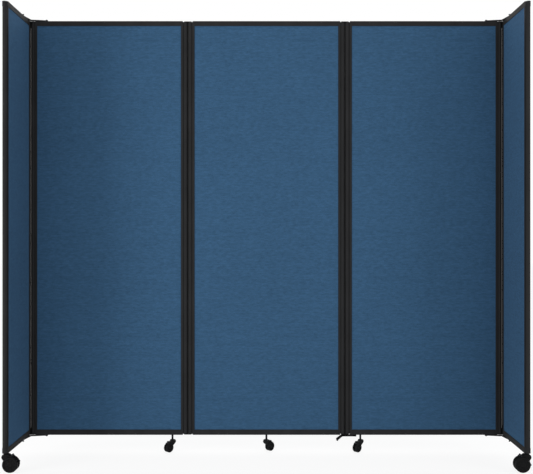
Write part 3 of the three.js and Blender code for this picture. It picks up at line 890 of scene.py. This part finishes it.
def lock_pin(name):
    """Lock pin with a groove and a knurled knob, pulled out by its travel."""
    low = BRACE_GAP + BRACE_HEIGHT + LOCK_PIN_TRAVEL + SEAT_GAP
    high = low + LOCK_KNOB_HEIGHT
    pin, groove = LOCK_PIN_RADIUS, LOCK_PIN_RADIUS - 0.5 * MM
    shaft = [(0, SEAT_GAP), (pin - 0.8 * MM, SEAT_GAP), (pin, SEAT_GAP + 0.8 * MM), (pin, low - 1.4 * MM),
             (groove, low - 1.1 * MM), (groove, low - 0.5 * MM), (pin, low - 0.2 * MM),
             (pin, low + 0.5 * MM), (0, low + 0.5 * MM)]
    rim = LOCK_KNOB_RADIUS - 0.6 * MM
    crown = [(0, high), (rim - 0.5 * MM, high), (rim, high - 0.3 * MM), (rim, low + 0.2 * MM),
             (0, low + 0.2 * MM)]
    knob = prism(knurled(LOCK_KNOB_RADIUS, 24, 0.3 * MM), low + 0.05 * MM, high - 0.35 * MM)
    return finish(piece(name, lathe(shaft, 32), knob, lathe(crown, 40)), STEEL)


def add_brace(label, x, arm, direction, turn, pin):
    """A brace with its pin. Direction is where its first arm points, and turn the side it bends to."""
    facing = 1 if label.endswith("top") else -1
    height = FRAME_HIGH if facing > 0 else FRAME_LOW
    base = shift(ROW.x + x, ROW.y, height) @ turn_about("Z", direction)
    if facing < 0:
        base = base @ UPSIDE_DOWN
    put(brace(f"brace_{label}_bar", arm, turn * facing), base, f"brace_{label}", "steel", f"brace_{label}")
    end = shift(*lock_place(arm, turn * facing))
    put(new_object(f"lock_pin_{label}_knob", pin.data), base @ end, f"lock_pin_{label}", "steel",
        f"lock_pin_{label}")


spare_pin = lock_pin("pin")
CORNER_BRACE_PLACE = PITCH + CORNER_PIVOT
for label in ("12_top", "12_bottom"):
    add_brace(label, -CORNER_BRACE_PLACE, CORNER_BRACE_ARM, math.pi + BRACE_LEAN, 1, spare_pin)
for label in ("45_top", "45_bottom"):
    add_brace(label, CORNER_BRACE_PLACE, CORNER_BRACE_ARM, -BRACE_LEAN, -1, spare_pin)
add_brace("34_bottom", PITCH - PARKED_PIVOT, PARKED_BRACE_ARM, math.pi, 1, spare_pin)
bpy.data.objects.remove(spare_pin)


# Casters
AXLE_OVERLAP = 0.5 * MM
WEB_RECESS = 0.4 * MM
ARM_EDGE = 2.2 * MM
SADDLE_EDGE = 2 * MM
SADDLE_CURVE = 3 * MM
RIDGE_CURVE = 1.5 * MM
RIDGE_INSET = 0.6 * MM
RIDGE_CLEARANCE = 0.3 * MM
GRIP_START, GRIP_STEP = 2.2, 1.9  # mm, for the three ridges of a foot tab
GRIP_RADIUS = 0.55 * MM


def axle_height(spec):
    return spec.wheel_radius * math.cos(math.pi / WHEEL_FLATS)


def wheel_profile(spec):
    """Half a wheel's section as (radius, y): crowned tread, dished face and hub."""
    inner = spec.spacing / 2
    outer = inner + spec.wheel_width
    radius, dish, hub = spec.wheel_radius, spec.dish, spec.hub
    rim = radius - 2 * dish
    middle_y, crown = (inner + outer) / 2, 0.25 * spec.wheel_width
    outline = [
        (0, inner), (radius - dish, inner), (radius - 0.25 * dish, inner + 0.5 * dish),
        (radius - 0.02 * dish, middle_y - crown), (radius, middle_y),
        (radius - 0.02 * dish, middle_y + crown), (radius - 0.25 * dish, outer - 0.5 * dish),
        (radius - dish, outer), (rim, outer), (rim - dish / 2, outer - dish), (hub, outer - dish),
        (hub - dish / 2, outer - dish / 2), (hub * 0.45, outer - dish / 2), (hub * 0.4, outer - dish * 0.75),
        (0, outer - dish * 0.75),
    ]
    return rounded(outline, 0.25 * dish, 3, closed=False)


def wheel_rib(spec, side):
    """Rib from the hub to the rim, on the dished face."""
    outer = spec.spacing / 2 + spec.wheel_width
    dish, rim = spec.dish, spec.wheel_radius - 2 * spec.dish
    outline = rectangle(spec.hub - 0.4 * dish, rim - 0.1 * dish, -0.22 * dish, 0.22 * dish)
    rib = prism(rounded(outline, 0.1 * dish, 2), side * (outer - 1.2 * dish), side * (outer - 0.45 * dish),
                along_y)
    return soften(rib, 0.08 * dish, 1)


def wheel_pair(name, spec):
    """Two ribbed wheels on an axle along Y, about the axle's middle, with a tread round each."""
    parts = []
    for side in (1, -1):
        parts.append(lathe([(r, side * y) for r, y in wheel_profile(spec)], 80, along_y))
        for i in range(WHEEL_RIBS):
            turn = turn_about("Y", 2 * math.pi * (i + 0.5) / WHEEL_RIBS)
            parts.append(moved(wheel_rib(spec, side), turn))
    end = spec.spacing / 2 + AXLE_OVERLAP
    parts.append(lathe(rod(spec.axle, -end, end), 32, along_y))
    made = finish(piece(name, *parts), TREAD, PLASTIC)
    face_radius = spec.wheel_radius - 2 * spec.dish + 0.2 * spec.dish
    for face in made.data.polygons:
        if math.hypot(face.center.x, face.center.z) < face_radius:
            face.material_index = 1
    return made


def sector(axle, radius, angles, low, high, hole=None):
    """Part of a disc or ring about the axle, lying across Y."""
    outline = arc(*axle, radius, *angles, 48)
    outline += arc(*axle, hole, angles[1], angles[0], 48) if hole else [axle]
    return prism(outline, low, high, along_y)


def hood_places(spec):
    """Where the axle, the boss and the ridge are, as (x, z) or x, and the hood's top."""
    top = 2 * spec.wheel_radius + spec.rise
    axle = (spec.trail, axle_height(spec))
    boss = (-spec.boss_shift, top - spec.boss)
    return axle, boss, axle[0] + spec.ridge_shift, top


def boss_solid(boss, size, half_width):
    """Boss that is round both from the side and from above."""
    upright = lathe(rod(size, -size, size), 64)
    ball = piece("ball", prism(circle(size, 64, *boss), -half_width, half_width, along_y))
    combine(ball, "INTERSECT", moved(upright, shift(boss[0], 0, boss[1])))
    return taken_from(ball)


def hood_arm(spec, web_from, web_to):
    """Boss, the arm down to the axle and the saddle over the wheels, with a pocket for each wheel."""
    axle, boss, ridge_at, top = hood_places(spec)
    width, deck, radius = spec.boss_width / 2, top - spec.deck_drop, spec.arm / 2
    slope = math.degrees(math.atan2(boss[1] - axle[1], boss[0] - axle[0]))
    arm = [*arc(*boss, radius, slope - 90, slope + 90, 24), *arc(*axle, radius, slope + 90, slope + 270, 24)]
    saddle = rounded([axle, boss, (boss[0], top), (spec.boss_reach, top),
                      (spec.boss_reach + spec.deck_drop / 2, deck), (ridge_at, deck)], SADDLE_CURVE, 6)
    made = piece("arm", soften(prism(arm, -width, width, along_y), ARM_EDGE, 3))
    combine(made, "UNION", boss_solid(boss, spec.boss, width),
            soften(prism(saddle, -width, width, along_y), SADDLE_EDGE, 3))
    pocket = circle(spec.wheel_radius + spec.gap, 96, *axle)
    far = spec.spacing + 2 * spec.wheel_width
    cut(made, prism(pocket, web_to, far, along_y), prism(pocket, -far, web_from, along_y))
    return taken_from(made)


def hood_ridge(spec):
    """Outline of the ridge across the hood's top. Its foot stays clear of the treads."""
    axle, _, ridge_at, top = hood_places(spec)
    pocket = spec.wheel_radius + spec.gap
    back, front = ridge_at - spec.ridge_width, ridge_at + spec.ridge_width / 2
    foot = axle[1] + math.sqrt(pocket ** 2 - (front - axle[0]) ** 2) + RIDGE_CLEARANCE
    outline = [(back, axle[1] + pocket + 0.2 * MM), (back, top - spec.deck_drop),
               (ridge_at, top - spec.ridge_drop), (front, foot)]
    return rounded(outline, RIDGE_CURVE, 3)


def stem_solids(radius, low, high):
    """Stem with a flange at its foot, that stands on a neck whose top is at low."""
    stem = rod(radius, low - 2 * MM, high, 1 * MM)
    inner, outer = radius - 0.5 * MM, radius + 2.2 * MM
    flange = rounded([(inner, low - 1 * MM), (outer, low - 1 * MM),
                      (outer, low + 0.05 * MM), (inner, low + 0.05 * MM)], 0.3 * MM, 2)
    return lathe(stem, 40), lathe(flange, 40, closed=True)


def housing(name, spec, web_to, neck_high):
    """Hood over both wheels, the web between them, the boss and the stem, fused into one moulding."""
    half = spec.spacing / 2 + spec.wheel_width
    web_from = -spec.spacing / 2 + 2 * SEAT_GAP
    axle, boss, _, _ = hood_places(spec)
    pocket = spec.wheel_radius + spec.gap
    cover = pocket + spec.skirt
    neck = rod(spec.neck, boss[1], neck_high, 0.8 * MM)
    hub = rod(spec.hub, web_from, web_to)
    fused = piece(
        "fused", hood_arm(spec, web_from, web_to),
        sector(axle, cover, spec.hood_angles, -half, half, pocket),
        sector(axle, cover - WEB_RECESS, spec.hood_angles, web_from, web_to),
        prism(hood_ridge(spec), -half + RIDGE_INSET, half - RIDGE_INSET, along_y),
        moved(lathe(hub, 48, along_y), shift(axle[0], 0, axle[1])),
        lathe(neck, 48))
    moulded(fused, grain=0.6 * MM, rounds=3, keep=0.2)
    bore = circle(spec.axle + SEAT_GAP, 48, *axle)
    cut(fused, prism(bore, -2 * half, 2 * half, along_y))
    stem = stem_solids(spec.stem, neck_high, FRAME_LOW + STEM_DEPTH)
    return finish(piece(name, taken_from(fused), *stem, crease=MOULDED_CREASE), PLASTIC)


def brake_lever(name, spec, angle):
    """Lever turning on the axle, with a foot tab that has grip ridges."""
    low, high = SEAT_GAP, spec.spacing / 2 - SEAT_GAP
    start = spec.wheel_radius + LEVER_START
    end = spec.wheel_radius + LEVER_REACH
    half, thick, arm = LEVER_TAB_WIDTH / 2, LEVER_TAB_THICKNESS / 2, LEVER_ARM_WIDTH / 2
    tab = rounded([(start, -thick), (end - 1 * MM, -thick * 0.6), (end, 0), (end - 1 * MM, thick),
                   (start, thick)], 1 * MM)
    parts = [
        prism(circle(spec.hub, 64), low, high, along_y),
        prism(rectangle(0, start + LEVER_TAB_THICKNESS, -arm, arm), low, high, along_y),
        prism(tab, -half, half, along_y),
    ]
    for i in range(3):
        place = start + (GRIP_START + GRIP_STEP * i) * MM
        ridge = arc(place, thick - 0.2 * MM, GRIP_RADIUS, 0, 180, 8)
        parts.append(prism(ridge, -half + 2 * MM, half - 2 * MM, along_y))
    made = moulded(piece(name, *parts), grain=0.4 * MM, rounds=2, keep=0.3)
    cut(made, prism(circle(spec.axle + SEAT_GAP, 40), -high, 2 * high, along_y))
    made.data.transform(turn_about("Y", -math.radians(angle)))
    return finish(returned(solid_of(made), made, LEVER_CREASE), PLASTIC)


def add_caster(label, panel, spec, x, turn, hood, wheels):
    """A caster under a panel. It returns where the axle's middle is."""
    stem = (PANELS[panel] @ shift(x)).translation
    base = shift(*stem) @ turn_about("Z", math.radians(turn))
    axle = base @ shift(spec.trail, 0, axle_height(spec))
    put(new_object(f"{label}_hood", hood.data), base, f"{label}_swivel", "caster_plastic",
        f"{label}_housing")
    put(new_object(f"{label}_wheels_on_axle", wheels.data), axle, f"{label}_wheel_pair", "caster_tread",
        f"{label}_wheels")
    return axle


small_neck = 2 * SMALL_CASTER.wheel_radius + SMALL_CASTER.rise + SEAT_GAP
small_web = SMALL_CASTER.spacing / 2 - 2 * SEAT_GAP
small_wheels = wheel_pair("small_wheels", SMALL_CASTER)
small_housing = housing("small_housing", SMALL_CASTER, small_web, small_neck)
end_wheels = wheel_pair("end_wheels", END_CASTER)
end_housing = housing("end_housing", END_CASTER, 0, FRAME_LOW - SEAT_GAP)
for number, x in ((2, SMALL_CASTER_PLACE), (3, 0), (4, -SMALL_CASTER_PLACE)):
    turn = CASTER_TURNS[number]
    add_caster(f"caster_{number}", number, SMALL_CASTER, x, turn, small_housing, small_wheels)
for number, side in ((1, -1), (5, 1)):
    label = f"end_caster_{number}"
    x = side * END_WIDTH / 2 - side * END_CASTER_INSET
    axle = add_caster(label, number, END_CASTER, x, END_CASTER_TURNS[number], end_housing, end_wheels)
    lever = brake_lever(f"{label}_lever", END_CASTER, LEVER_ANGLES[number])
    put(lever, axle, f"{label}_brake", "caster_plastic", f"{label}_brake_lever")
for spare in (small_wheels, small_housing, end_wheels, end_housing):
    bpy.data.objects.remove(spare)


# Stage, lights and camera
FLOOR_REACH = 30.0
FLOOR_GLOW_SHARE = 0.88  # the rest is the lit floor, which keeps the object's faint shadow
WORLD_LIGHT = 0.95
WORLD_COLOUR = (0.96, 0.98, 1)
WHITE = (1, 1, 1)
LAMPS = [
    dict(name="left", place=(-4.4, -2.6, 1.3), aim=(1.25, -0.2, 1.15), size=(1.5, 2.5), power=120),
    dict(name="right", place=(4.4, -2.6, 1.6), aim=(-1.25, -0.2, 1.3), size=(1.5, 2.5), power=50),
    dict(name="back", place=(0.5, 4.5, 4.0), aim=(0, 0, 1.2), size=(3.0, 2.0), power=60),
]
CAMERA_DISTANCE = 4.494  # from the row's front face
CAMERA_HEIGHT = 1.149
CAMERA_LENS = 57.2  # mm, as the sensor's width
CAMERA_SENSOR = 36
CAMERA_SHIFT = (0.0002, -0.0033)  # in picture widths
CAMERA_CLIP = (0.1, 200)


def seen_as_white(owner):
    """1 for rays from the camera, off gloss and through clear things, and else 0."""
    path = node(owner, "ShaderNodeLightPath")
    most = path.outputs["Is Camera Ray"]
    for ray in ("Is Glossy Ray", "Is Transmission Ray"):
        most = maths(owner, "MAXIMUM", most, path.outputs[ray])
    return most


def glowing(owner, kind, colour, strength):
    return node(owner, kind, {"Color": (*colour, 1), "Strength": strength}).outputs[0]


def mixed(owner, *values):
    return node(owner, "ShaderNodeMixShader", dict(enumerate(values))).outputs[0]


def stage_floor():
    """Wide floor that looks white and takes a faint shadow."""
    bm = bmesh.new()
    corners = rectangle(-FLOOR_REACH, FLOOR_REACH, -FLOOR_REACH, FLOOR_REACH)
    bm.faces.new([bm.verts.new((x, y, 0)) for x, y in corners])
    floor = piece("floor", bm)
    material, shader = new_material("floor_white", (0.86, 0.86, 0.86), 0.9, 0.1)
    share = product(material, seen_as_white(material), FLOOR_GLOW_SHARE)
    glow = glowing(material, "ShaderNodeEmission", WHITE, 1)
    output = material.node_tree.nodes["Material Output"]
    feed(material, output, "Surface", mixed(material, share, shader.outputs["BSDF"], glow))
    finish(floor, material)


def surround():
    """White to camera, reflections and transmission, and a soft even light to the object."""
    world = bpy.data.worlds.new("studio")
    bpy.context.scene.world = world
    world.use_nodes = True
    world.node_tree.nodes.clear()
    soft = glowing(world, "ShaderNodeBackground", WORLD_COLOUR, WORLD_LIGHT)
    white = glowing(world, "ShaderNodeBackground", WHITE, 1)
    node(world, "ShaderNodeOutputWorld", {"Surface": mixed(world, seen_as_white(world), soft, white)})


def soft_lamp(name, place, aim, size, power):
    """Rectangular lamp at a place, turned to what it aims at."""
    data = bpy.data.lights.new(name, "AREA")
    data.shape = "RECTANGLE"
    data.size, data.size_y = size
    data.energy = power
    lamp = new_object(name, data)
    lamp.location = place
    lamp.rotation_mode = "QUATERNION"
    lamp.rotation_quaternion = (Vector(aim) - Vector(place)).to_track_quat("-Z", "Y")


def photo_camera():
    """Level camera in front of the row's middle."""
    data = bpy.data.cameras.new("camera")
    data.sensor_width = CAMERA_SENSOR
    data.lens = CAMERA_LENS
    data.shift_x, data.shift_y = CAMERA_SHIFT
    data.clip_start, data.clip_end = CAMERA_CLIP
    camera = new_object("camera", data)
    camera.location = (ROW.x, ROW.y - NOSE_RADIUS - CAMERA_DISTANCE, CAMERA_HEIGHT)
    camera.rotation_euler = (math.pi / 2, 0, 0)
    bpy.context.scene.camera = camera


stage_floor()
surround()
for lamp in LAMPS:
    soft_lamp(**lamp)
photo_camera()
bpy.context.scene.view_settings.view_transform = "Standard"
